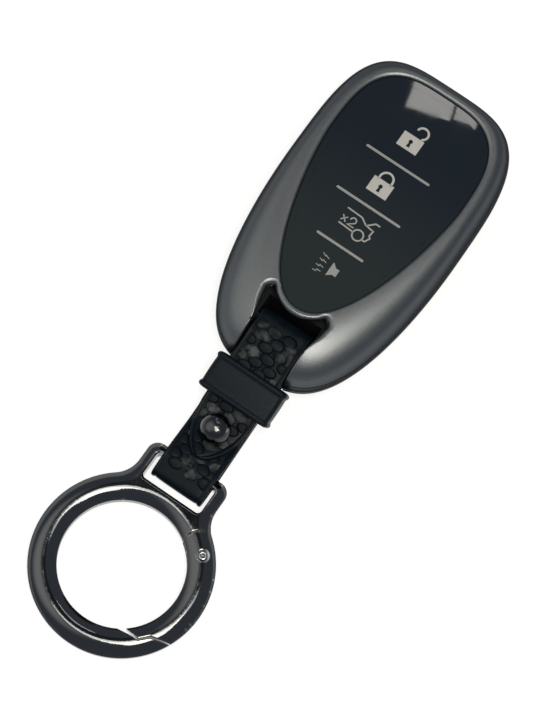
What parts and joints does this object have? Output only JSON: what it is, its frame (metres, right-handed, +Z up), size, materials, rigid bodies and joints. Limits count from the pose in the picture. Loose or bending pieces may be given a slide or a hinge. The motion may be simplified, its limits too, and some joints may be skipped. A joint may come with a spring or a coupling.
{
  "type": "key fob cover",
  "caption": "Egg-shaped hard cover for a car key fob, with a glossy key panel, a strap that swings from a notch in its end, a sliding keeper and a ring with a spring gate.",
  "frame": {"origin": "middle of the case's flat back face, which rests on the table", "axes": "+Z up out of the key panel, +Y towards the case's top end, so that the strap and ring lie at the -Y end, +X to the right"},
  "size_m": [0.046, 0.152, 0.0175],
  "materials": {
    "shell_metal": "fine satin blast, dark grey with a blue cast",
    "soft_lining": "matt soft plastic",
    "gloss_panel": "high gloss black with light grey printed signs",
    "scale_leather": "embossed with oval scales",
    "lining_leather": "smooth",
    "polished_nickel": "polished black nickel",
    "spring_steel": "bright wire"
  },
  "bodies": {
    "back": {"back_shell": "shell_metal", "back_liner": "soft_lining", "seam_gasket": "soft_lining", "strap_bar": "polished_nickel"},
    "front": {"front_shell": "shell_metal", "front_liner": "soft_lining", "key_panel": "gloss_panel"},
    "unlock_key": {"unlock_pad": "gloss_panel"},
    "lock_key": {"lock_pad": "gloss_panel"},
    "boot_key": {"boot_pad": "gloss_panel"},
    "horn_key": {"horn_pad": "gloss_panel"},
    "strap": {"strap_face": "scale_leather", "strap_lining": "lining_leather", "stud_head": "polished_nickel", "stud_screw": "polished_nickel"},
    "keeper": {"keeper_loop": "lining_leather"},
    "ring": {"ring_body": "polished_nickel", "gate_pin": "polished_nickel"},
    "gate": {"ring_gate": "polished_nickel", "gate_spring": "spring_steel"}
  },
  "joints": [
    {"name": "front_lift", "type": "slide", "parent": "back", "child": "front", "axis": [0, 0, 1], "range_m": [0, 0.03]},
    {"name": "unlock_press", "type": "slide", "parent": "front", "child": "unlock_key", "axis": [0, 0, -1], "range_m": [0, 0.0005], "stiffness_N_per_m": 2000},
    {"name": "lock_press", "type": "slide", "parent": "front", "child": "lock_key", "axis": [0, 0, -1], "range_m": [0, 0.0005], "stiffness_N_per_m": 2000},
    {"name": "boot_press", "type": "slide", "parent": "front", "child": "boot_key", "axis": [0, 0, -1], "range_m": [0, 0.0005], "stiffness_N_per_m": 2000},
    {"name": "horn_press", "type": "slide", "parent": "front", "child": "horn_key", "axis": [0, 0, -1], "range_m": [0, 0.0005], "stiffness_N_per_m": 2000},
    {"name": "strap_swing", "type": "hinge", "parent": "back", "child": "strap", "pos_m": [0, -0.0294, 0.0095], "axis": [1, 0, 0], "range_deg": [-95, 0]},
    {"name": "keeper_slide", "type": "slide", "parent": "strap", "child": "keeper", "axis": [0, -0.965, -0.2622], "range_m": [0, 0.001]},
    {"name": "ring_swing", "type": "hinge", "parent": "strap", "child": "ring", "pos_m": [0, -0.0652, 0.0026], "axis": [1, 0, 0], "range_deg": [-110, 90]},
    {"name": "gate_turn", "type": "hinge", "parent": "ring", "child": "gate", "pos_m": [0.0136, -0.08011, 0.0026], "axis": [0, 0, -1], "range_deg": [0, 28], "stiffness_Nm_per_rad": 0.05, "springref_deg": -11.46, "deforming": ["gate_spring"]}
  ]
}
